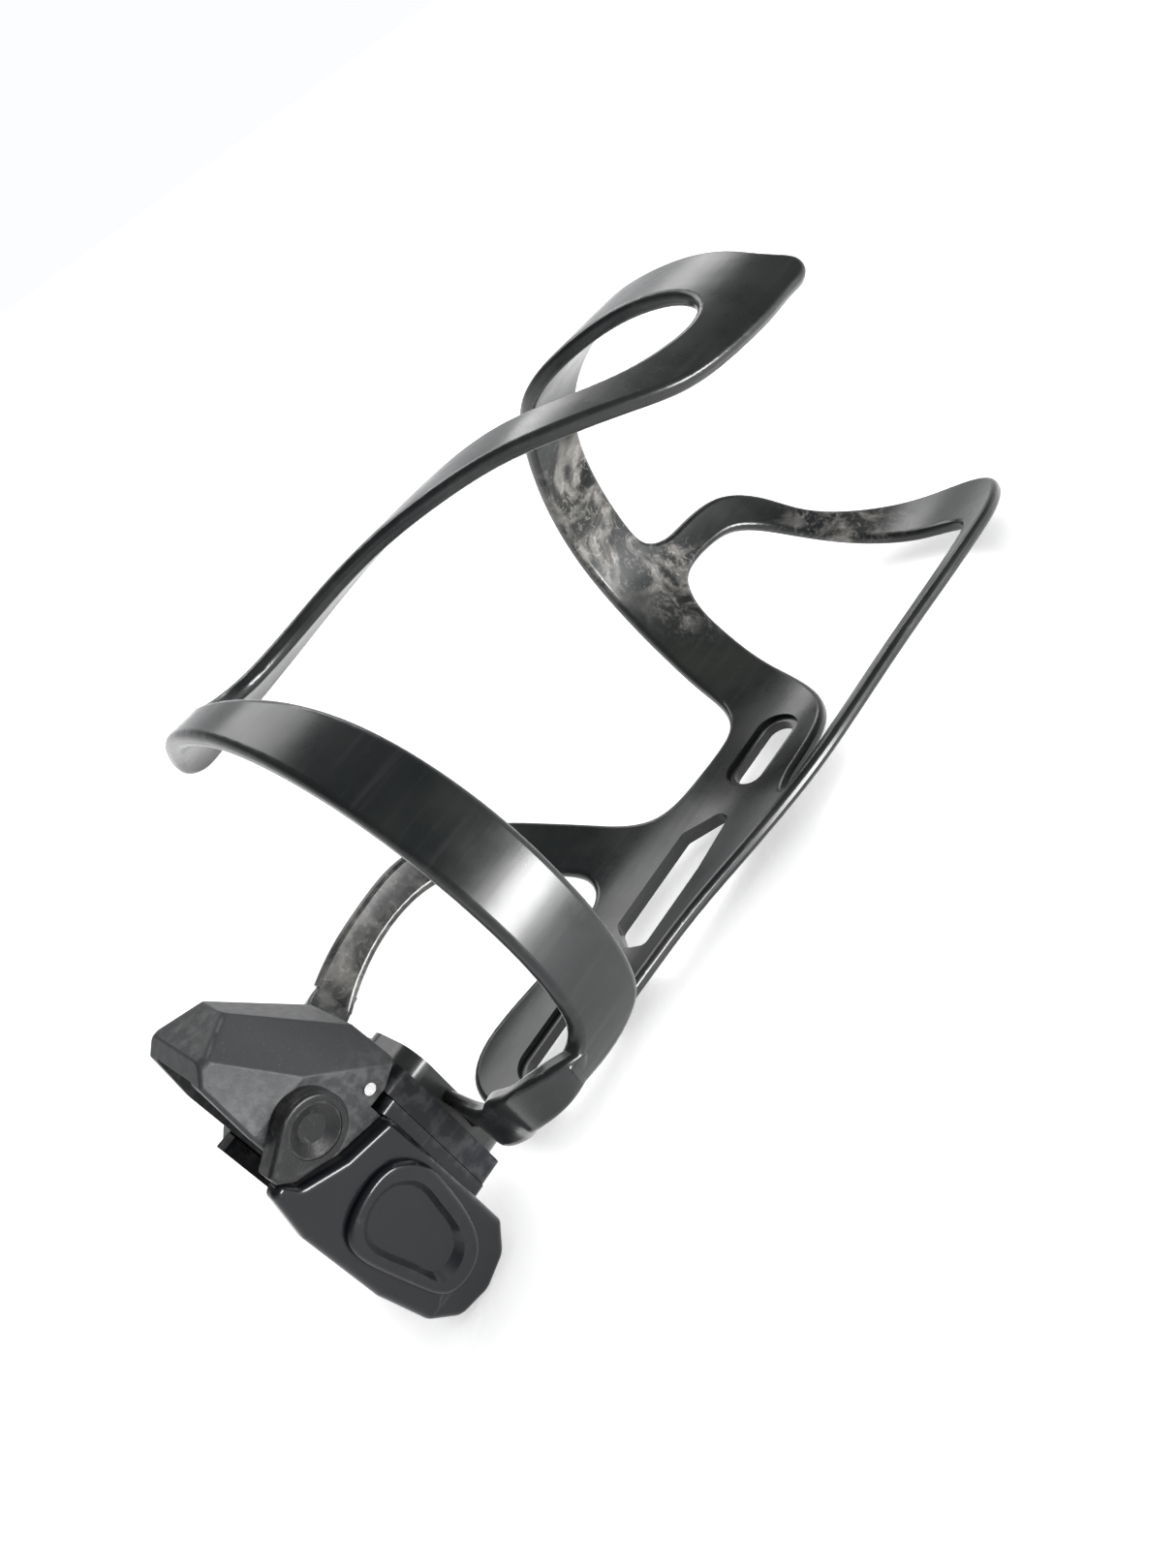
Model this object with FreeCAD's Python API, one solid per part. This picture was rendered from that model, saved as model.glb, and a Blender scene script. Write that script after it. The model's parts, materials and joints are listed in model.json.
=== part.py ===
import FreeCAD, Part
import math
import os

# Side-entry water bottle cage with a multi-tool holster under its bottom shelf.
# Frame (millimetres): origin midway between the two mounting slots on the back mounting
# face (z = 0); +Z points from that face to the bottle, +Y runs along the bottle to its
# mouth, +X is the bottle's right side.

os.makedirs("parts", exist_ok=True)
V = FreeCAD.Vector
V2 = FreeCAD.Base.Vector2d

# ---- driving dimensions: cage ----
R_IN = 36.8              # bottle side of the moulded skin
SKIN = 2.6               # wall of the skin
R_OUT = R_IN + SKIN
R_MID = R_IN + SKIN / 2
AXIS_Z = 41.8            # height of the bottle axis above the layout datum
BACK_Z = 2.4             # height of the flat mounting face above the layout datum
SEAM = 325.0             # angle left free of skin, where the cylinder is parted
EDGE_R = 1.0             # rounding along the skin's edges
SLOT_PITCH = 64.0
SLOT_LENGTH = 16.0
SLOT_WIDTH = 5.6
RECESS_WIDTH = 8.4       # shallow seat for the bolt heads
RECESS_FLOOR = BACK_Z + 1.9
FLANGE_TOP = 4.2         # front of the flat pad moulded into the skin
SHELF_Y = -52.2          # middle of the shelf the bottle stands on
SHELF_T = 2.6
PAD_T = 3.0              # thicker pad in the middle of the shelf, over the holster

# ---- driving dimensions: holster and multi-tool ----
RAIL_TOP = SHELF_Y - PAD_T / 2 - 0.1
RAIL_BOTTOM = -57.6
RAIL_Z = (6.6, 32.4)
RAIL_HALF = 7.8
SCREW_Z = (11.0, 26.0)
SHELL_HALF = 12.0
BODY_HALF = 9.6          # multi-tool body, half width
BODY_WALL = 1.65
CAVITY_HALF = BODY_HALF - BODY_WALL
BAY_HALF = BODY_HALF + 0.35
BODY_TOP = -60.5         # inside the holster
BODY_BOTTOM = -72.6
REAR_AXLE = (11.5, -66.6)      # z, y
FRONT_AXLE = (48.5, -67.6)
AXLE_R = 1.5
RUN = 0.05               # running clearance, on radius
LUG = (40.3, -67.3)      # centre of the teardrop lug, z and y
LUG_R = 4.8
LUG_FACE = 12.6
BUTTON_R = 3.6
PIN = (35.6, -59.0)      # cross pin through the body, z and y
PIN_R = 0.85
KEY_EYE_R = 3.4

# Outline of the skin, unrolled: (angle round the bottle axis in degrees, y).
# 0 degrees is +X, 90 is away from the frame, 270 is the mounting face.
BAND_TOP = [(-13.6, -46.6), (-14.6, -43.6), (-15, -41), (-14.2, -37), (-11.5, -34), (-6, -32.6),
            (2, -32), (15, -31.7), (30, -31.5), (45, -31.6), (58, -32), (70, -32.8), (82, -34),
            (92, -35), (102, -35.5), (110, -35), (116, -33)]
DIAGONAL_FRONT = [(120.5, -29.5), (122.5, -25), (121.5, -19.5), (118, -13.5), (112, -7.5),
                  (104.5, -1.5), (97, 4), (90.5, 9.5), (84, 14.6), (77, 19.2), (70, 24.5),
                  (63.5, 30), (58.5, 35.5)]
PADDLE_EDGE = [(55.8, 42), (54.6, 49), (54.2, 56), (54.4, 62), (55.2, 66), (58, 67.4)]
ARM_TOP = [(64, 66.6), (73, 65.9), (83, 65), (92, 63.4), (101, 62.2), (111, 61.4), (122, 60.2),
           (134, 59), (147, 58.6), (162, 59.2), (178, 60), (190, 60.3), (197.5, 61.3), (201.3, 65)]
WING_EDGE = [(202.6, 71), (203.6, 77), (206, 82.3), (211, 87), (218, 90.4), (229, 93.3), (240, 97),
             (250, 101), (260, 105), (268, 108.4), (275, 110.6), (281, 110.8), (287, 108.6),
             (291.5, 104), (294.2, 98)]
STRUT_EDGE = [(295, 90), (294.8, 78), (294, 66), (293.8, 54), (294, 40), (293.4, 29), (291, 19),
              (288, 10), (285, 1), (283.2, -7)]
PLATE_FOOT = [(282.4, -15), (281.8, -24), (281.4, -34), (280.4, -40.5), (276.8, -45), (270, -46.6),
              (262, -46.5), (255.5, -44.3), (252, -40), (251.3, -34), (252.2, -27), (253.4, -19),
              (253.6, -12)]
SIDE_ARM_LOW = [(251.5, -6.3), (246, -4.3), (240, -5.6), (231, -9), (222, -13.4), (215.5, -18.6),
                (212.6, -25), (212.4, -32), (214.5, -39.5), (218.6, -46.6)]
SIDE_ARM_HIGH = [(206.6, -46.6), (203.6, -39), (202.2, -31), (202, -24), (204.3, -17),
                 (210, -9.6), (217.5, -4), (227, 0.8), (238, 5.3), (247, 8.6), (252.5, 12),
                 (255.2, 17)]
ARM_LOW = [(256, 23), (256.3, 30), (254.8, 35.6), (249, 39.6), (240, 41.8), (229, 43.7),
           (216, 45.4), (202, 46.4), (187, 46.7), (171, 46.6), (156, 46), (143, 44.8), (131, 43.2),
           (121, 42.6), (111, 44), (102, 47.2), (93, 50.6), (84, 52.8), (76, 53.5), (70.5, 52)]
PADDLE_BAY = [(67.8, 47.5), (68.6, 41.5), (71.2, 36), (75.5, 31.2), (81, 27.4), (88, 24),
              (96, 20.4), (103.5, 15.4), (110.5, 8.8), (117.5, 1.6), (124, -6), (129, -13.4),
              (132.6, -20.5), (135.2, -27)]
BAND_LOW = [(138, -32.6), (138.6, -36.4), (135.5, -39), (128, -40.4), (116, -41.2), (102, -41.6),
            (86, -41.6), (70, -41.7), (54, -41.8), (38, -41.9), (22, -42), (8, -42.2), (0.5, -42.6),
            (-5.4, -43.9), (-6.6, -46.6)]
WING_WINDOW = [(216.5, 61.2), (223, 58.6), (232, 56.8), (242, 55), (252, 53.2), (262, 51.4),
               (270, 49.2), (277, 46), (282, 41.6), (284.6, 36), (285.4, 29.5), (286.4, 24.5),
               (288, 22.3), (289.2, 26), (289.6, 35), (289.2, 46), (288.8, 58), (289, 70),
               (289.2, 82), (288.6, 90), (286, 94.4), (280, 95.6), (270, 94.4), (260, 92.8),
               (250, 91), (240, 88.9), (230, 86.2), (222, 83), (216.4, 78.6), (214, 73),
               (213.4, 67)]


def save(name, shape):
    """Move from the layout datum to the frame, with z = 0 on the mounting face, and write."""
    shape.translate(V(0, 0, -BACK_Z))
    shape.exportStep("parts/%s.step" % name)


def on_skin(theta, y, r=R_MID):
    a = math.radians(theta)
    return V(r * math.cos(a), y, AXIS_Z + r * math.sin(a))


def polygon(points):
    return Part.Face(Part.makePolygon([*points, points[0]]))


def prism_x(zy, x0, x1):
    """Solid from a (z, y) outline, between two x planes."""
    return polygon([V(x0, y, z) for z, y in zy]).extrude(V(x1 - x0, 0, 0))


def prism_y(zx, y0, y1):
    """Solid from a (z, x) outline, between two y planes."""
    return polygon([V(x, y0, z) for z, x in zx]).extrude(V(0, y1 - y0, 0))


def box(x, y, z):
    return Part.makeBox(x[1] - x[0], y[1] - y[0], z[1] - z[0], V(x[0], y[0], z[0]))


def rod_x(r, x0, x1, zy):
    return Part.makeCylinder(r, x1 - x0, V(x0, zy[1], zy[0]), V(1, 0, 0))


def rod_y(r, y0, y1, x, z):
    return Part.makeCylinder(r, y1 - y0, V(x, y0, z), V(0, 1, 0))


def edges_where(shape, test):
    return [e for e in shape.Edges if test(e)]


def along(edge, axis):
    d = edge.tangentAt(edge.FirstParameter)
    return abs(abs(d.dot(axis)) - 1) < 1e-6 and edge.Curve.TypeId == "Part::GeomLine"


def corners_x(shape, zy):
    """Edges along x that stand at the given (z, y) corners."""
    def wanted(e):
        c = e.CenterOfMass
        return along(e, V(1, 0, 0)) and any(math.hypot(c.z - z, c.y - y) < 0.01 for z, y in zy)
    return edges_where(shape, wanted)


# ---- cage ----
def skin_edges(points, count, closed=False):
    """Smooth curve through unrolled points, laid on the inner cylinder in pieces."""
    curve = Part.Geom2d.BSplineCurve2d()
    curve.interpolate(Points=[V2(math.radians(SEAM - t) * R_MID, y) for t, y in points],
                      PeriodicFlag=closed)
    for i in range(1, curve.NbPoles + 1):
        pole = curve.getPole(i)
        curve.setPole(i, V2(pole.x / R_MID, pole.y))
    a, b = curve.FirstParameter, curve.LastParameter
    steps = [a + (b - a) * i / count for i in range(count + 1)]
    return [curve.toShape(SKIN_CYLINDER, s, e) for s, e in zip(steps, steps[1:])]


def skin_line(p, q):
    ends = [V2(math.radians(SEAM - t), y) for t, y in (p, q)]
    return Part.Geom2d.Line2dSegment(*ends).toShape(SKIN_CYLINDER)


SKIN_CYLINDER = Part.Cylinder()
SKIN_CYLINDER.Radius = R_IN


def make_skin():
    first = BAND_TOP + DIAGONAL_FRONT + PADDLE_EDGE + ARM_TOP + WING_EDGE + STRUT_EDGE
    first += PLATE_FOOT + SIDE_ARM_LOW
    second = SIDE_ARM_HIGH + ARM_LOW + PADDLE_BAY + BAND_LOW
    outline = skin_edges(first, 6) + skin_edges(second, 4)
    outline += [skin_line(first[-1], second[0]), skin_line(second[-1], first[0])]
    outline += skin_edges(WING_WINDOW, 2, closed=True)
    patch = SKIN_CYLINDER.toShape(math.radians(5), math.radians(355), -60, 120)
    pieces = patch.generalFuse(outline, 0.0)[0].Faces
    face = next(f for f in pieces if len(f.Wires) == 2 and f.Area < 15000)
    solid = face.makeOffsetShape(SKIN, 1e-3, fill=True).Solids[0]
    rounded = solid.makeFillet(EDGE_R, edges_where(solid, lambda e: e.Length > 40))
    rounded.fix(1e-3, 1e-4, 1e-2)
    rounded = rounded.Solids[0]
    rounded.rotate(V(0, 0, 0), V(0, 0, 1), -SEAM)
    rounded.rotate(V(0, 0, 0), V(1, 0, 0), -90)
    rounded.translate(V(0, 0, AXIS_Z))
    return rounded


def slab(centre, across, through, width, thick, r):
    """Rounded rectangle wire: width along 'across', thickness along 'through'."""
    a, b = width / 2, thick / 2
    k = r * (1 - math.sqrt(0.5))
    corners = []
    for sx, sy in ((1, 1), (-1, 1), (-1, -1), (1, -1)):
        ring = [(sx * a, sy * (b - r)), (sx * (a - k), sy * (b - k)), (sx * (a - r), sy * b)]
        corners.append(ring if sx * sy > 0 else ring[::-1])
    at = lambda p: centre + across * p[0] + through * p[1]
    parts = []
    for c, nxt in zip(corners, corners[1:] + corners[:1]):
        parts.append(Part.Arc(*[at(p) for p in c]).toShape())
        parts.append(Part.LineSegment(at(c[2]), at(nxt[0])).toShape())
    return Part.Wire(parts)


def ribbon(stations):
    return Part.makeLoft([slab(*s) for s in stations], True, False)


def shelf_arm(theta, y, lean, width, path):
    """Ribbon that leaves the skin at one angle and height, then turns in along 'path'."""
    a = math.radians(theta)
    radial = V(math.cos(a), 0, math.sin(a))
    side = V(-math.sin(a), 0, math.cos(a))
    under = V(0, -1, 0)
    down = under + side * lean
    down.normalize()
    across = side - down * side.dot(down)
    across.normalize()
    start = on_skin(theta, y)
    points = [V(x, SHELF_Y, z) for x, z in path]
    stations = [(start - down * 2.2, across, radial, width - 1.6, SKIN - 0.6, 0.6),
                (start, across, radial, width - 0.4, SKIN - 0.1, 0.8)]
    flat = turned_flat(points[1] - points[0], across)
    corner = (start + down * ((y - SHELF_Y) / -down.y)) * 0.72 + points[0] * 0.28
    for t in (0.3, 0.5, 0.7):
        middle = start * (1 - t) ** 2 + corner * (2 * t * (1 - t)) + points[0] * t ** 2
        heading = (corner - start) * (1 - t) + (points[0] - corner) * t
        heading.normalize()
        turned = across * (1 - t) + flat * t
        turned = turned - heading * turned.dot(heading)
        turned.normalize()
        outward = turned.cross(heading)
        if outward.dot(radial + under) < 0:
            outward = outward * -1
        stations.append((middle, turned, outward, width + 0.2, SKIN, 0.8))
    for i, (p, w) in enumerate(zip(points, (width + 0.8, width + 1.2, width + 1.6, width + 2))):
        ahead = points[min(i + 1, len(points) - 1)] - points[max(i - 1, 0)]
        stations.append((p, turned_flat(ahead, across), under, w, SHELF_T - 0.15 * i, 0.8))
    return ribbon(stations)


def turned_flat(ahead, like):
    """Unit vector in the shelf's plane, square to 'ahead' and on the same side as 'like'."""
    flat = V(-ahead.z, 0, ahead.x)
    flat.normalize()
    return flat if flat.dot(like) > 0 else flat * -1


def slot(y, width, length, z0, z1):
    r = width / 2
    h = length / 2 - r
    ends = [Part.makeCylinder(r, z1 - z0, V(0, y + s * h, z0)) for s in (-1, 1)]
    return box((-r, r), (y - h, y + h), (z0, z1)).fuse(ends)


def make_cage():
    flange = prism_flange()
    right = shelf_arm(-10.1, -46.2, 0.3, 5.6, [(30.6, 31.8), (22.5, 24.8), (13.5, 19.6), (4.4, 17.6)])
    left = shelf_arm(212.8, -46.2, 0.0, 7.4, [(-26.0, 22.8), (-18.5, 23.6), (-10.5, 23.4), (-3.2, 22.4)])
    pad = box((-6.2, 6.2), (SHELF_Y - PAD_T / 2, SHELF_Y + PAD_T / 2), (6.4, 30.8))
    pad = pad.makeFillet(4.0, edges_where(pad, lambda e: along(e, V(0, 1, 0))))
    cage = make_skin().fuse([flange, right, left, pad])
    window = window_cut()
    cuts = [window]
    for s in (-1, 1):
        y = s * SLOT_PITCH / 2
        cuts.append(slot(y, SLOT_WIDTH, SLOT_LENGTH, -1, 12))
        cuts.append(slot(y, RECESS_WIDTH, SLOT_LENGTH + 2.4, RECESS_FLOOR, 12))
    cuts += [rod_y(2.55, -60, -40, 0, z) for z in SCREW_Z]
    return cage.cut(cuts)


def prism_flange():
    outline = [(-9.0, -36), (-7.4, -41.6), (-3.6, -44.8), (0.4, -44.2), (2.8, -41.8), (4.8, -36),
               (6.2, -12), (7.4, 4), (8.4, 14), (8.4, 37), (6.6, 42), (2, 45.6), (-4, 47),
               (-9.0, 47), (-8.2, 34), (-8.6, 22), (-10.2, 13.5), (-10.2, 0), (-9.0, -10)]
    face = polygon([V(x, y, BACK_Z) for x, y in outline])
    solid = face.extrude(V(0, 0, FLANGE_TOP - BACK_Z))
    return solid.makeFillet(1.5, edges_where(solid, lambda e: along(e, V(0, 0, 1))))


def window_cut():
    outline = [(-3.9, -10.5), (0.6, -14), (4.2, -12.5), (4.2, 4), (3.0, 16), (0.4, 16.5),
               (-4.0, 10.5)]
    solid = polygon([V(x, y, -1) for x, y in outline]).extrude(V(0, 0, 14))
    return solid.makeFillet(1.4, edges_where(solid, lambda e: along(e, V(0, 0, 1))))


# ---- holster ----
def make_inserts():
    rings = []
    for z in SCREW_Z:
        tube = rod_y(2.5, SHELF_Y - 1.4, SHELF_Y + 1.2, 0, z)
        rings.append(tube.cut(rod_y(1.95, -60, -40, 0, z)))
    return Part.makeCompound(rings)


def make_screws():
    screws = []
    for z in SCREW_Z:
        head = rod_y(3.4, RAIL_BOTTOM + 0.2, RAIL_BOTTOM + 2.0, 0, z)
        socket = hexagon_y(2.5, RAIL_BOTTOM, RAIL_BOTTOM + 1.3, z)
        shank = rod_y(1.9, RAIL_BOTTOM + 1.9, SHELF_Y + 1.1, 0, z)
        screws.append(head.fuse(shank).cut(socket))
    return Part.makeCompound(screws)


def hexagon_y(flats, y0, y1, z):
    r = flats / math.sqrt(3)
    pts = [V(r * math.cos(math.radians(60 * i)), y0, z + r * math.sin(math.radians(60 * i)))
           for i in range(6)]
    return polygon(pts).extrude(V(0, y1 - y0, 0))


def make_rail():
    rail = box((-RAIL_HALF, RAIL_HALF), (RAIL_BOTTOM, RAIL_TOP), RAIL_Z)
    rail = rail.makeFillet(2.0, edges_where(rail, lambda e: along(e, V(0, 1, 0))))
    cuts = []
    for z in SCREW_Z:
        cuts.append(rod_y(2.1, -60, -50, 0, z))
        cuts.append(rod_y(3.7, RAIL_BOTTOM - 1, RAIL_BOTTOM + 2.0, 0, z))
    return rail.cut(cuts)


SHELL_OUTLINE = [(31.4, -60.0), (33.2, -67.5), (36.2, -73.2), (42.0, -75.6), (30.6, -77.6),
                 (15.0, -77.5), (5.0, -76.0), (0.2, -73.0), (-1.2, -68.0), (0.4, -63.0), (4.4, -60.0)]
THUMB_RIM = [(26.8, -63.4), (22.6, -61.4), (17.0, -61.6), (9.6, -63.0), (5.4, -66.0), (5.6, -71.4),
             (10.6, -73.6), (18.4, -75.0), (26.2, -74.4), (28.4, -70.0)]
THUMB_DISH = [(25.4, -65.4), (21.6, -63.6), (16.6, -64.0), (11.0, -65.0), (8.2, -67.2), (8.4, -70.8),
              (12.4, -72.1), (18.6, -73.3), (24.8, -73.0), (26.8, -69.6)]


def make_shell():
    body = prism_x(SHELL_OUTLINE, -SHELL_HALF, SHELL_HALF)
    rear = [p for p in SHELL_OUTLINE if p[0] < 6 and p[1] < -62]
    front = [p for p in SHELL_OUTLINE if p not in rear]
    body = body.makeFillet(3.0, corners_x(body, rear))
    body = body.makeFillet(1.2, corners_x(body, front))
    rim = edges_where(body, lambda e: abs(abs(e.CenterOfMass.x) - SHELL_HALF) < 1e-4)
    body = body.makeFillet(1.1, rim)
    roof = box((-RAIL_HALF, RAIL_HALF), (-61.5, RAIL_BOTTOM - 0.1), (6.6, 30.6))
    roof = roof.makeFillet(1.5, edges_where(roof, lambda e: along(e, V(0, 1, 0))))
    bay = prism_x([(3.4, -60.2), (60, -60.2), (60, -90), (3.4, -90)], -BAY_HALF, BAY_HALF)
    far_cheek = prism_x([(-10, -74.4), (33.4, -74.4), (36.0, -71.8), (60, -56), (60, -90), (-10, -90)],
                        -20, -BAY_HALF + 0.5)
    body = body.fuse([roof, thumb_pad(1), thumb_pad(-1)])
    cuts = [bay, far_cheek] + [rod_y(3.9, -62, -57, 0, z) for z in SCREW_Z]
    body = body.cut(cuts)
    lips = []
    for s in (-1, 1):
        x = sorted((s * (CAVITY_HALF + 0.35), s * (BAY_HALF + 0.4)))
        lips.append(box(x, (-75.2, BODY_BOTTOM - 0.3), (6.0, 35.0)))
    return body.fuse(lips)


def loop_x(zy, x, scale=1.0):
    """Smooth closed wire through (z, y) points in the plane at x, scaled about their middle."""
    mz = sum(z for z, y in zy) / len(zy)
    my = sum(y for z, y in zy) / len(zy)
    curve = Part.BSplineCurve()
    curve.interpolate(Points=[V(x, my + (y - my) * scale, mz + (z - mz) * scale) for z, y in zy],
                      PeriodicFlag=True)
    return Part.Wire(curve.toShape())


def thumb_pad(side):
    """Raised thumb rest on one cheek, with a bevelled dish sunk in it."""
    top = side * (SHELL_HALF + 1.3)
    pad = Part.Face(loop_x(THUMB_RIM, side * (SHELL_HALF - 1.0))).extrude(V(side * 2.3, 0, 0))
    pad = pad.makeFillet(0.9, edges_where(pad, lambda e: abs(e.CenterOfMass.x - top) < 1e-4))
    low, high = side * (SHELL_HALF + 0.25), side * (SHELL_HALF + 1.6)
    dish = Part.makeLoft([loop_x(THUMB_DISH, low, 0.86), loop_x(THUMB_DISH, high, 1.04)], True, True)
    return pad.cut(dish)


# ---- multi-tool ----
def half_space(point, normal):
    """Large block whose near face passes through 'point' and faces away from 'normal'."""
    turn = FreeCAD.Rotation(V(0, 0, 1), normal)
    block = Part.makeBox(80, 80, 30, V(-40, -40, 0))
    block.Placement = FreeCAD.Placement(point, turn)
    return block


def upright(edge):
    d = edge.tangentAt(edge.FirstParameter)
    return abs(d.y) > 0.8


def make_body():
    outline = [(6.4, BODY_TOP), (33.6, BODY_TOP), (33.6, -57.6), (35.4, -53.95), (41.0, -53.95),
               (55.6, -63.4), (55.6, -69.8), (53.4, -71.9), (44.5, BODY_BOTTOM), (6.4, BODY_BOTTOM)]
    body = prism_x(outline, -BODY_HALF, BODY_HALF)
    for s in (-1, 1):
        nose = prism_y([(44.6, s * BODY_HALF), (60, s * 6.0), (60, s * 14), (44.6, s * 14)], -80, -50)
        body = body.cut([nose, half_space(V(s * 5.6, -53.9, 40.8), V(s * 0.742, 0.498, 0.447))])
    corners = edges_where(body, lambda e: 50 < e.CenterOfMass.z and abs(e.CenterOfMass.x) > 4)
    body = body.makeFillet(1.6, [e for e in corners if upright(e)])
    outer = edges_where(body, lambda e: e.CenterOfMass.z > 38 and e.CenterOfMass.y > -73)
    body = body.makeFillet(0.6, outer)
    cavity = prism_y([(0, -CAVITY_HALF), (44.4, -CAVITY_HALF), (53.6, -4.9), (53.6, 4.9),
                      (44.4, CAVITY_HALF), (0, CAVITY_HALF)], -90, -62.1)
    front_roof = prism_x([(43, -63.8), (49, -63.8), (53.8, -66.4), (70, -66.4), (70, -50), (43, -50)],
                         -20, 20)
    cavity = cavity.cut(front_roof)
    holes = [rod_x(AXLE_R, -20, 20, REAR_AXLE), rod_x(AXLE_R, -7.45, 7.45, FRONT_AXLE),
             rod_x(PIN_R, -20, 20, PIN), rod_x(1.2, 5, 20, LUG)]
    return body.cut([cavity] + holes)


def make_lug():
    z, y = LUG
    x0 = BODY_HALF + 0.1
    round_part = rod_x(LUG_R, x0, LUG_FACE, LUG)
    tip = prism_x([(z - 4.2, y - 2.3), (z - 2.6, y - 5.9), (z - 0.6, y - 7.5), (z + 0.9, y - 7.5),
                   (z + 4.4, y - 1.9), (z + 1.0, y)], x0, LUG_FACE)
    lug = round_part.fuse(tip).removeSplitter()
    lug = lug.makeFillet(0.6, edges_where(lug, lambda e: abs(e.CenterOfMass.x - LUG_FACE) < 1e-4))
    return lug.cut([rod_x(BUTTON_R + RUN, BODY_HALF + 0.6, 20, LUG), rod_x(1.2, 5, 20, LUG)])


def make_button():
    x0, x1 = BODY_HALF + 1.97, LUG_FACE - 0.1
    button = rod_x(BUTTON_R, x0, x1, LUG).fuse(rod_x(1.2 - RUN, CAVITY_HALF + 0.9, x0 + 0.1, LUG))
    dish = Part.makeCone(1.9, BUTTON_R - 0.2, 0.9, V(x1 - 0.9, LUG[1], LUG[0]), V(1, 0, 0))
    return button.cut(dish)


def make_button_spring():
    """Pair of opposed disc springs between the lug's floor and the button."""
    x0, x1 = BODY_HALF + 0.65, BODY_HALF + 1.95
    rise, thick = (x1 - x0) / 2 - 0.01, 0.22
    discs = []
    for s, x in ((1, x0), (-1, x1)):
        profile = [(3.3, x), (3.3, x + s * thick), (1.9, x + s * rise), (1.9, x + s * (rise - thick))]
        ring = polygon([V(px, LUG[1] + r, LUG[0]) for r, px in profile])
        discs.append(ring.revolve(V(0, LUG[1], LUG[0]), V(1, 0, 0), 360))
    return Part.makeCompound(discs)


def hex_key(size, x0, axle, reach):
    """Folding hexagon key: eye round its axle, neck, hexagonal shaft towards +z or -z."""
    x1 = x0 + size
    z, y = axle
    s = 1 if reach > 0 else -1
    eye = rod_x(KEY_EYE_R, x0, x1, axle)
    half = size / math.sqrt(3)
    flank = size / 2 / math.sqrt(3)
    xm = (x0 + x1) / 2
    pts = [V(xm, y + half, z), V(x1, y + flank, z), V(x1, y - flank, z), V(xm, y - half, z),
           V(x0, y - flank, z), V(x0, y + flank, z)]
    shaft = polygon(pts).extrude(V(0, 0, reach))
    tip = Part.makeCone(half * 1.02, half * 0.82, 0.8, V(xm, y, z + reach - s * 0.8), V(0, 0, s))
    body = box((xm - size, xm + size), (y - half - 1, y + half + 1),
               sorted((z, z + reach - s * 0.8)))
    shaft = shaft.common(body.fuse(tip))
    neck = prism_x([(z, y - KEY_EYE_R * 0.9), (z + s * 7.5, y - half), (z + s * 7.5, y + half),
                    (z, y + KEY_EYE_R * 0.9)], x0, x1)
    key = eye.fuse([shaft, neck])
    return key.cut(rod_x(AXLE_R + RUN, x0 - 1, x1 + 1, axle))


def washer(x0, axle, t=0.2):
    return rod_x(3.0, x0, x0 + t, axle).cut(rod_x(AXLE_R + RUN, x0 - 1, x0 + 1, axle))


def make_washers():
    rear = [washer(-7.93, REAR_AXLE, 0.18), washer(7.75, REAR_AXLE, 0.18)]
    return Part.makeCompound(rear)


def spacer(x0, x1, axle):
    return rod_x(2.8, x0, x1, axle).cut(rod_x(AXLE_R + RUN, x0 - 1, x1 + 1, axle))


PIECES = {
    "cage_body": make_cage,
    "thread_inserts": make_inserts,
    "rail_screws": make_screws,
    "holster_rail": make_rail,
    "holster_shell": make_shell,
    "tool_body": make_body,
    "release_lug": make_lug,
    "release_button": make_button,
    "button_spring": make_button_spring,
    "cross_pin": lambda: rod_x(PIN_R, -9.9, 9.9, PIN),
    "rear_axle": lambda: rod_x(AXLE_R, -9.5, 9.5, REAR_AXLE),
    "front_axle": lambda: rod_x(AXLE_R, -7.4, 7.4, FRONT_AXLE),
    "hex_key_5": lambda: hex_key(5.0, -7.7, REAR_AXLE, 31.0),
    "hex_key_4": lambda: hex_key(4.0, 3.7, REAR_AXLE, 31.0),
    "hex_key_3": lambda: hex_key(3.0, -2.4, FRONT_AXLE, -33.0),
    "hex_key_2_5": lambda: hex_key(2.5, 0.9, FRONT_AXLE, -33.0),
    "axle_washers": make_washers,
    "rear_spacer": lambda: spacer(-2.4, 3.4, REAR_AXLE),
    "front_spacers": lambda: Part.makeCompound([spacer(-5.5, -2.7, FRONT_AXLE),
                                                spacer(3.7, 5.5, FRONT_AXLE)]),
}

for name, build in PIECES.items():
    save(name, build())
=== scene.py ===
import json
import math

import bpy
from mathutils import Matrix, Vector


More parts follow.
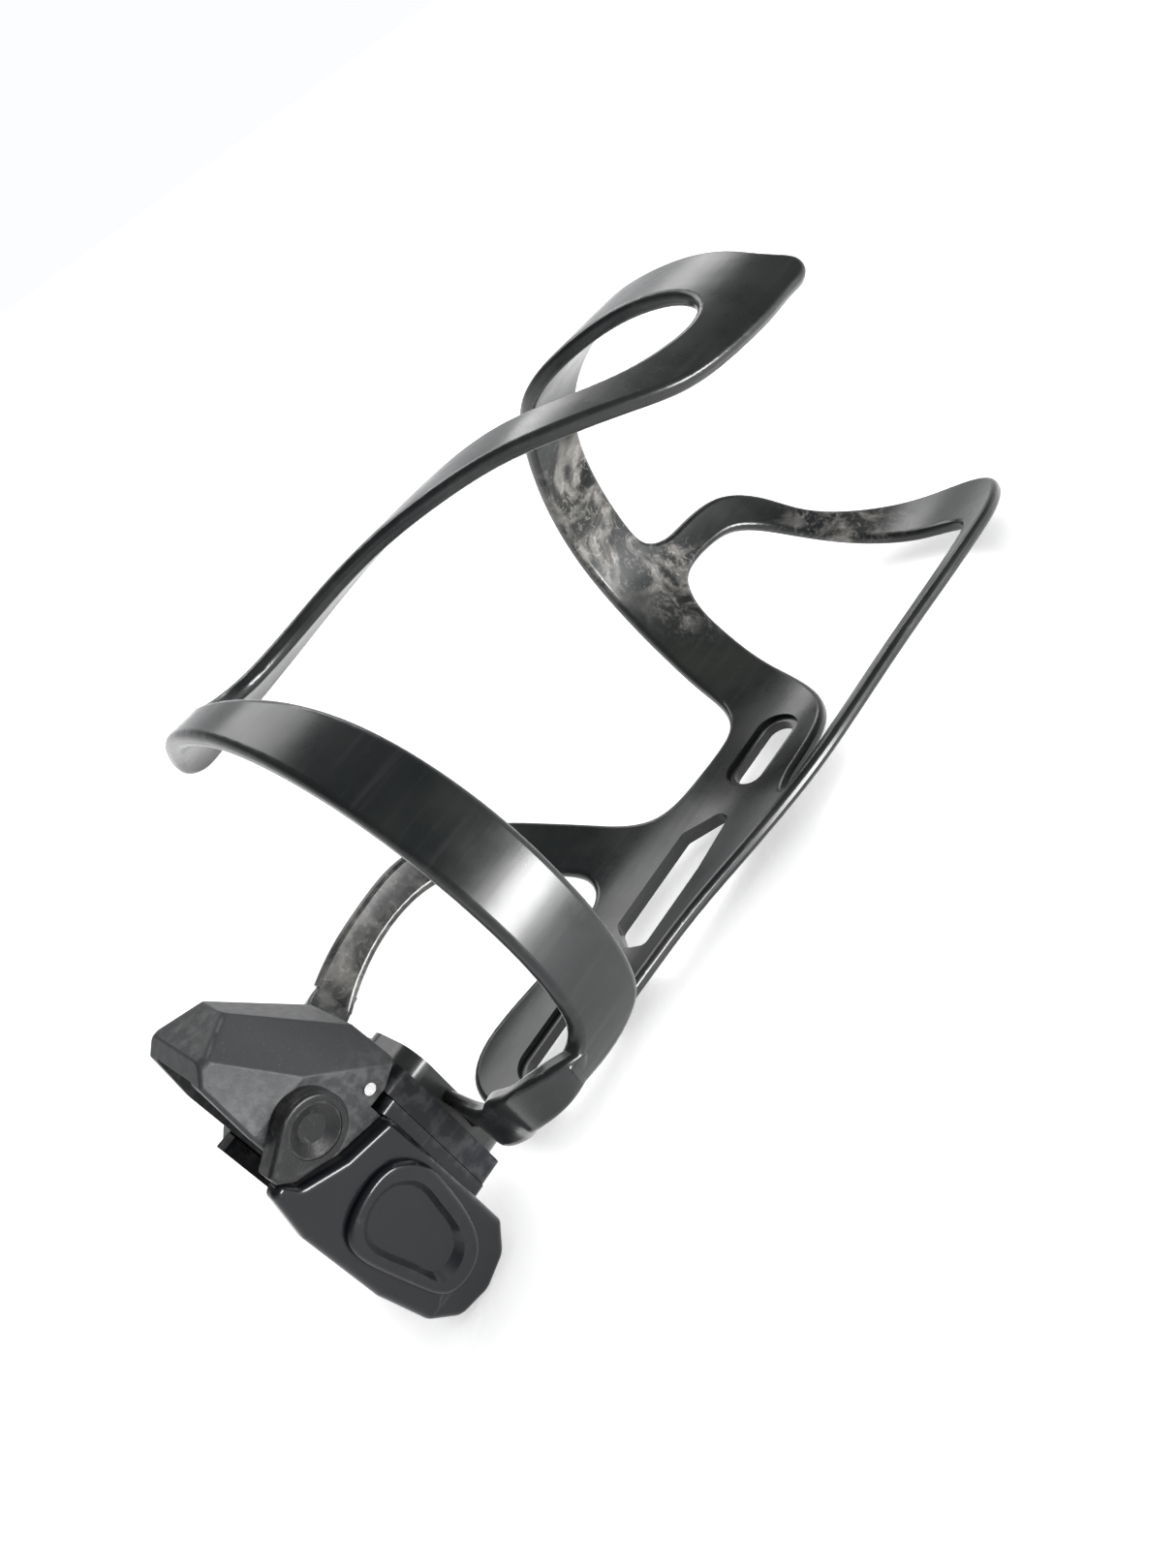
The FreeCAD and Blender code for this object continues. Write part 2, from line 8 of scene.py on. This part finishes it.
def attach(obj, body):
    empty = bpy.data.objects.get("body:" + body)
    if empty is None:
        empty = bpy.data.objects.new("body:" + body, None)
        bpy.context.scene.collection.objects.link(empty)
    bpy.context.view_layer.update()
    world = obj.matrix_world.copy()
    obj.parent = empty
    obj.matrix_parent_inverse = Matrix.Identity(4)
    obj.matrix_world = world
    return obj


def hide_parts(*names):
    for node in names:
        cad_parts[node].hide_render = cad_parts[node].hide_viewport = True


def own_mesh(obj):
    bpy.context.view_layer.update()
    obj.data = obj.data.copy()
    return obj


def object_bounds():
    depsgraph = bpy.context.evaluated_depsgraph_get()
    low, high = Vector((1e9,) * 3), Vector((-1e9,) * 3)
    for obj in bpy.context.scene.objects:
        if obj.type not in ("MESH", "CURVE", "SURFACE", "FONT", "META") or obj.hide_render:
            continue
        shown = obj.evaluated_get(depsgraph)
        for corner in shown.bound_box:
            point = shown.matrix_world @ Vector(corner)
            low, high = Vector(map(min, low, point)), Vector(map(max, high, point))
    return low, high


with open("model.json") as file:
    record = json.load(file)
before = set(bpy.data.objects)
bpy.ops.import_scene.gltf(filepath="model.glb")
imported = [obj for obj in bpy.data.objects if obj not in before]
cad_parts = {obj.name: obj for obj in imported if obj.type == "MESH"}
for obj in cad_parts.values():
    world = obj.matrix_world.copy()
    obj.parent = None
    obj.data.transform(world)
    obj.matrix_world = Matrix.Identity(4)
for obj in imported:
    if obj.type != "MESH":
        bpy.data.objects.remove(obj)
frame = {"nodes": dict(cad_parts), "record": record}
CAD_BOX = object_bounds()
NODES = frame["nodes"]
MM = 0.001
CENTRE = (0.0, 0.0, 0.04)          # what the lights point at, metres
MARK_CORE = 0.25                   # share of a rubbed mark's radius that is fully marked
BRASS_DARK, BRASS_LIGHT = (0.42, 0.29, 0.11, 1), (0.72, 0.53, 0.24, 1)
KNURL_SCALE = 900.0
FLOOR_HALF = 6.0                   # metres
FLOOR_GAP = 0.0004                 # metres between the floor and the cage's lowest point
FLOOR_GLOW = 0.36                  # keeps the white floor from going grey
SKY_FADE = (0.2, 0.5, 1.0, 0.22)   # height where the fade starts and ends, strength at each
SKY_COLOUR = (0.97, 0.985, 1.0, 1)
CAMERA_PLACE = (0.13532, -0.07731, 0.12803)
CAMERA_RIGHT = (0.6703, 0.5613, -0.4853)
CAMERA_BACK = (0.7343, -0.4113, 0.5400)
LENS_MM, SENSOR_MM = 27.04, 36.0
CLIP_START = 0.01


# ---- material graph helpers ----
class Graph:
    """A procedural material built round one Principled shader."""

    def __init__(self, name, roughness=0.4, metallic=0.0, coat=0.0, coat_roughness=0.1, ior=1.5):
        self.mat = bpy.data.materials.new(name)
        self.mat.use_nodes = True
        self.tree = self.mat.node_tree
        self.shader = self.tree.nodes["Principled BSDF"]
        for socket, value in (("Roughness", roughness), ("Metallic", metallic),
                              ("Coat Weight", coat), ("Coat Roughness", coat_roughness),
                              ("IOR", ior)):
            self.shader.inputs[socket].default_value = value
        self.place = self.node("ShaderNodeTexCoord").outputs["Object"]

    def node(self, kind, **settings):
        made = self.tree.nodes.new(kind)
        for key, value in settings.items():
            setattr(made, key, value)
        return made

    def put(self, socket, value):
        if isinstance(value, bpy.types.NodeSocket):
            self.tree.links.new(value, socket)
        else:
            socket.default_value = value

    def maths(self, operation, a, b=0.0, clamp=False):
        made = self.node("ShaderNodeMath", operation=operation, use_clamp=clamp)
        self.put(made.inputs[0], a)
        self.put(made.inputs[1], b)
        return made.outputs[0]

    def ramp(self, value, low, high, out_low=0.0, out_high=1.0):
        """Smooth step from 'out_low' at 'low' to 'out_high' at 'high'."""
        made = self.node("ShaderNodeMapRange", interpolation_type="SMOOTHSTEP")
        for socket, v in zip(made.inputs[:5], (value, low, high, out_low, out_high)):
            self.put(socket, v)
        return made.outputs[0]

    def stretch(self, scale, turn=(0, 0, 0)):
        made = self.node("ShaderNodeMapping")
        self.put(made.inputs["Vector"], self.place)
        made.inputs["Scale"].default_value = scale
        made.inputs["Rotation"].default_value = turn
        return made.outputs[0]

    def noise(self, size, detail=3.0, rough=0.55, vector=None, distort=0.0):
        """Noise whose features are about 'size' metres across."""
        made = self.node("ShaderNodeTexNoise")
        self.put(made.inputs["Vector"], vector or self.place)
        made.inputs["Scale"].default_value = 1.0 / size
        made.inputs["Detail"].default_value = detail
        made.inputs["Roughness"].default_value = rough
        made.inputs["Distortion"].default_value = distort
        return made.outputs["Fac"]

    def near(self, centre, radius):
        """1 close to a point in millimetres, falling to 0 at 'radius' millimetres."""
        made = self.node("ShaderNodeVectorMath", operation="DISTANCE")
        self.put(made.inputs[0], self.place)
        made.inputs[1].default_value = Vector(centre) * MM
        return self.ramp(made.outputs["Value"], radius * MM, radius * MARK_CORE * MM)

    def mix(self, factor, a, b):
        made = self.node("ShaderNodeMix", data_type="RGBA")
        self.put(made.inputs["Factor"], factor)
        self.put(made.inputs[6], a)
        self.put(made.inputs[7], b)
        return made.outputs[2]

    def bump(self, height, depth, strength=1.0, under=None):
        made = self.node("ShaderNodeBump")
        made.inputs["Distance"].default_value = depth
        made.inputs["Strength"].default_value = strength
        self.put(made.inputs["Height"], height)
        if under:
            self.put(made.inputs["Normal"], under)
        return made.outputs[0]

    def edge_wear_and_sheen(self, sharp=0.62, soft=0.53):
        """Mask of convex edges, from 0 at pointiness 'soft' to 1 at 'sharp'; it marks worn edges,
        and on the cage a painted edge highlight.
        """
        point = self.node("ShaderNodeNewGeometry").outputs["Pointiness"]
        return self.ramp(point, soft, sharp)

    def finish(self, colour, roughness=None, normal=None):
        self.put(self.shader.inputs["Base Color"], colour)
        if roughness is not None:
            self.put(self.shader.inputs["Roughness"], roughness)
        if normal is not None:
            self.put(self.shader.inputs["Normal"], normal)
        return self.mat


def rgb(value, tint=(1, 1, 1)):
    return (value * tint[0], value * tint[1], value * tint[2], 1)


COOL = (0.96, 1.0, 1.07)
TEAL = (0.82, 1.03, 1.1)
BLUE = (0.86, 0.95, 1.25)
OLIVE = (0.97, 1.06, 0.94)
WARM = (1.05, 1.0, 0.93)

# Rubbed places: centre in millimetres, how far the mark spreads, and how strong it is.
SCUFFS = (
    ((-36, 55.3, 46.8), 17, 0.8),
    ((-36.5, 53.6, 34.4), 14, 1.0),
    ((-29.1, 59.3, 16.8), 14, 0.6),
    ((-32.5, 61.1, 22.2), 12, 0.8),
    ((-15.5, 92.9, 6), 18, 0.6),
    ((-32.9, -28.6, 22.9), 13, 0.35),
    ((-31.5, -41, 20.4), 12, 0.35),
)


def cage_material():
    """Satin black moulding: cloudy, rubbed pale in places, with faint moulding streaks and a
    painted highlight along its convex edges.
    """
    g = Graph("cage_composite", ior=1.32, coat=0.42, coat_roughness=0.2)
    cloud = g.ramp(g.noise(0.019, 5.0, 0.6, distort=0.4), 0.36, 0.7)
    base = g.mix(cloud, rgb(0.005, TEAL), rgb(0.013, OLIVE))
    streak = g.noise(0.0011, 3.0, 0.5, g.stretch((1.0, 0.06, 1.0), (0.5, 0.0, 0.35)))
    base = g.mix(g.ramp(streak, 0.52, 0.78, 0.0, 0.3), base, rgb(0.024))
    reach = 0.0
    for centre, radius, strength in SCUFFS:
        reach = g.maths("MAXIMUM", reach, g.maths("MULTIPLY", g.near(centre, radius), strength))
    smear = g.ramp(g.noise(0.0085, 4.0, 0.55, distort=1.4), 0.44, 0.68)
    nicks = g.ramp(g.noise(0.0016, 6.0, 0.7, distort=1.0), 0.5, 0.68)
    marks = g.maths("ADD", g.maths("MULTIPLY", smear, 0.5), g.maths("MULTIPLY", nicks, 0.4))
    scuff = g.maths("MULTIPLY", reach, marks, clamp=True)
    base = g.mix(g.maths("MULTIPLY", scuff, 0.85), base, rgb(0.38, WARM))
    dust = g.ramp(g.noise(0.0021, 5.0, 0.7), 0.64, 0.84, 0.0, 0.14)
    base = g.mix(dust, base, rgb(0.08))
    # Convex edges painted paler all round: a painted highlight standing in for light catching the
    # bevels
    edge = g.edge_wear_and_sheen()
    base = g.mix(g.maths("MULTIPLY", edge, 0.14), base, rgb(0.07))
    rough = g.ramp(g.noise(0.011, 4.0, 0.6), 0.3, 0.7, 0.24, 0.38)
    rough = g.maths("ADD", rough, g.maths("MULTIPLY", scuff, 0.25))
    waves = g.bump(g.noise(0.0095, 2.0, 0.5), 0.0005, 0.3)
    grain = g.bump(streak, 0.00004, 0.4, waves)
    return g.finish(base, rough, grain)


def blasted_material(name, dark, light, grain_size, roughness):
    """Fine blasted and dyed metal: pin-point grain, slightly paler on its edges."""
    g = Graph(name, ior=1.38)
    base = g.mix(g.ramp(g.noise(0.012, 3.0), 0.3, 0.75), dark, light)
    speck = g.noise(grain_size, 2.0, 0.6)
    base = g.mix(g.ramp(speck, 0.56, 0.78, 0.0, 0.25), base, rgb(0.06, COOL))
    edge = g.maths("MULTIPLY", g.edge_wear_and_sheen(), g.ramp(g.noise(0.0016, 4.0), 0.4, 0.65))
    base = g.mix(g.maths("MULTIPLY", edge, 0.3), base, rgb(0.12))
    rough = g.ramp(g.noise(0.0012, 3.0), 0.3, 0.7, roughness - 0.03, roughness + 0.03)
    grain = g.bump(speck, 0.00005, 0.4)
    return g.finish(base, rough, grain)


def gloss_material(name, value, roughness, coat):
    """Smooth moulded plastic: slow ripple and hairline scratches."""
    g = Graph(name, ior=1.28, coat=coat, coat_roughness=0.1)
    tone = g.ramp(g.noise(0.02, 4.0), 0.3, 0.7)
    base = g.mix(tone, rgb(value * 0.88, BLUE), rgb(value * 1.15, BLUE))
    hair = g.noise(0.0006, 2.0, 0.5, g.stretch((1.0, 0.03, 0.5), (0.2, 0.5, 0.9)))
    base = g.mix(g.ramp(hair, 0.68, 0.8, 0.0, 0.2), base, rgb(0.07, COOL))
    edge = g.maths("MULTIPLY", g.edge_wear_and_sheen(0.6, 0.52), g.ramp(g.noise(0.002, 4.0), 0.42, 0.65))
    base = g.mix(g.maths("MULTIPLY", edge, 0.2), base, rgb(0.09))
    rough = g.ramp(g.noise(0.009, 3.0), 0.3, 0.7, roughness - 0.04, roughness + 0.04)
    skin = g.bump(g.noise(0.0055, 2.0), 0.0002, 0.2)
    return g.finish(base, rough, g.bump(g.noise(0.00045, 2.0), 0.000015, 0.4, skin))


def steel_material(name, value, roughness, lines):
    """Turned or drawn steel with slight stains; fine lines run where 'lines' is small."""
    g = Graph(name, metallic=1.0)
    line = g.noise(0.00035, 3.0, 0.6, g.stretch(lines))
    base = g.mix(g.ramp(line, 0.35, 0.7), rgb(value * 0.78), rgb(value * 1.1))
    stain = g.ramp(g.noise(0.003, 4.0), 0.55, 0.75, 0.0, 0.35)
    base = g.mix(stain, base, rgb(value * 0.5, WARM))
    rough = g.ramp(line, 0.3, 0.7, roughness - 0.06, roughness + 0.1)
    return g.finish(base, rough, g.bump(line, 0.00002, 0.6))


def brass_material():
    """Knurled brass of the threaded inserts."""
    g = Graph("insert_brass", metallic=1.0)
    knurl = g.node("ShaderNodeTexWave", wave_type="BANDS", bands_direction="DIAGONAL")
    g.put(knurl.inputs["Vector"], g.place)
    knurl.inputs["Scale"].default_value = KNURL_SCALE
    tone = g.ramp(g.noise(0.002, 4.0), 0.35, 0.7)
    base = g.mix(tone, BRASS_DARK, BRASS_LIGHT)
    rough = g.ramp(g.noise(0.0015), 0.3, 0.7, 0.25, 0.42)
    return g.finish(base, rough, g.bump(knurl.outputs["Fac"], 0.0001, 0.6))


FINISHES = {
    "cage_composite": cage_material(),
    "holster_plastic": gloss_material("holster_plastic", 0.0042, 0.3, 0.3),
    "rail_plastic": gloss_material("rail_plastic", 0.006, 0.42, 0.05),
    "tool_alloy": blasted_material("tool_alloy", rgb(0.019, COOL), rgb(0.0215, COOL),
                                   0.00042, 0.5),
    "lug_alloy": blasted_material("lug_alloy", rgb(0.006, COOL), rgb(0.0085, COOL),
                                  0.0005, 0.36),
    "key_steel": steel_material("key_steel", 0.4, 0.3, (1.0, 1.0, 0.04)),
    "pin_steel": steel_material("pin_steel", 0.72, 0.2, (0.05, 1.0, 1.0)),
    "spring_steel": steel_material("spring_steel", 0.5, 0.3, (0.2, 1.0, 1.0)),
    "insert_brass": brass_material(),
    "screw_black": steel_material("screw_black", 0.06, 0.42, (1.0, 0.2, 1.0)),
    "washer_steel": steel_material("washer_steel", 0.55, 0.28, (0.1, 1.0, 1.0)),
    "spacer_alloy": steel_material("spacer_alloy", 0.6, 0.34, (0.1, 1.0, 1.0)),
}

for part in frame["record"]["subparts"]:
    mesh = NODES[part["node"]].data
    mesh.materials.clear()
    mesh.materials.append(FINISHES[part["material_slot"]])


def make_springs():
    """Copy of the disc springs, carried by the tool in place of the original."""
    springs = bpy.data.objects.new("disc_springs", NODES["button_spring"].data.copy())
    bpy.context.scene.collection.objects.link(springs)
    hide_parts("button_spring")
    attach(springs, "tool")
    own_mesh(springs)


make_springs()


# ---- stage ----
def floor_material():
    g = Graph("floor_cloth", roughness=0.85)
    tone = g.ramp(g.noise(0.05, 3.0), 0.3, 0.7)
    base = g.mix(tone, rgb(0.86), rgb(0.9))
    g.shader.inputs["Emission Color"].default_value = (1, 1, 1, 1)
    g.shader.inputs["Emission Strength"].default_value = FLOOR_GLOW
    return g.finish(base, 0.85, g.bump(g.noise(0.0012, 2.0), 0.0001, 0.3))


def make_floor():
    z = CAD_BOX[0][2] - FLOOR_GAP
    corners = [(x * FLOOR_HALF, y * FLOOR_HALF, z) for x, y in ((-1, -1), (1, -1), (1, 1), (-1, 1))]
    mesh = bpy.data.meshes.new("floor")
    mesh.from_pydata(corners, [], [(0, 1, 2, 3)])
    mesh.materials.append(floor_material())
    floor = bpy.data.objects.new("floor", mesh)
    bpy.context.scene.collection.objects.link(floor)


def add_light(kind, name, place, power, size=None, angle=None):
    """Light at 'place', pointing at the object; 'power' is in watts, or W/m2 for the sun."""
    data = bpy.data.lights.new(name, kind)
    data.energy = power
    if size:
        data.shape = "RECTANGLE"
        data.size, data.size_y = size
    if angle:
        data.angle = math.radians(angle)
    light = bpy.data.objects.new(name, data)
    light.location = place
    light.rotation_euler = (Vector(CENTRE) - Vector(place)).to_track_quat("-Z", "Y").to_euler()
    bpy.context.scene.collection.objects.link(light)
    return light


def make_camera():
    """Camera looking down the cage from its foot end, rolled with the cage's lean."""
    right, back = Vector(CAMERA_RIGHT), Vector(CAMERA_BACK)
    right = (right - back * right.dot(back) / back.length_squared).normalized()
    back.normalize()
    up = back.cross(right)
    data = bpy.data.cameras.new("camera")
    data.lens, data.sensor_width = LENS_MM, SENSOR_MM
    data.clip_start = CLIP_START
    camera = bpy.data.objects.new("camera", data)
    turn = Matrix((right, up, back)).transposed().to_4x4()
    camera.matrix_world = Matrix.Translation(CAMERA_PLACE) @ turn
    bpy.context.scene.collection.objects.link(camera)
    bpy.context.scene.camera = camera


def make_world():
    """White room seen low down, dimmer overhead."""
    world = bpy.data.worlds.new("studio")
    world.use_nodes = True
    tree = world.node_tree
    place = tree.nodes.new("ShaderNodeTexCoord").outputs["Generated"]
    split = tree.nodes.new("ShaderNodeSeparateXYZ")
    tree.links.new(place, split.inputs[0])
    fade = tree.nodes.new("ShaderNodeMapRange")
    fade.interpolation_type = "SMOOTHSTEP"
    for socket, value in zip(fade.inputs[1:5], SKY_FADE):
        socket.default_value = value
    tree.links.new(split.outputs["Z"], fade.inputs[0])
    background = tree.nodes["Background"]
    background.inputs["Color"].default_value = SKY_COLOUR
    tree.links.new(fade.outputs[0], background.inputs["Strength"])
    bpy.context.scene.world = world


make_floor()
make_world()
make_camera()
ceiling = add_light("SUN", "ceiling", (-0.25, 0.3, 1.0), 1.9, angle=100)
ceiling.visible_glossy = False
add_light("AREA", "window", (1.15, 0.28, 0.13), 26.0, size=(0.7, 0.27))
add_light("AREA", "panel", (-0.65, 0.25, 0.85), 5.0, size=(0.6, 0.6))
add_light("AREA", "strip", (-0.55, 0.75, 0.6), 1.6, size=(0.5, 0.2))
bpy.context.scene.view_settings.view_transform = "Standard"
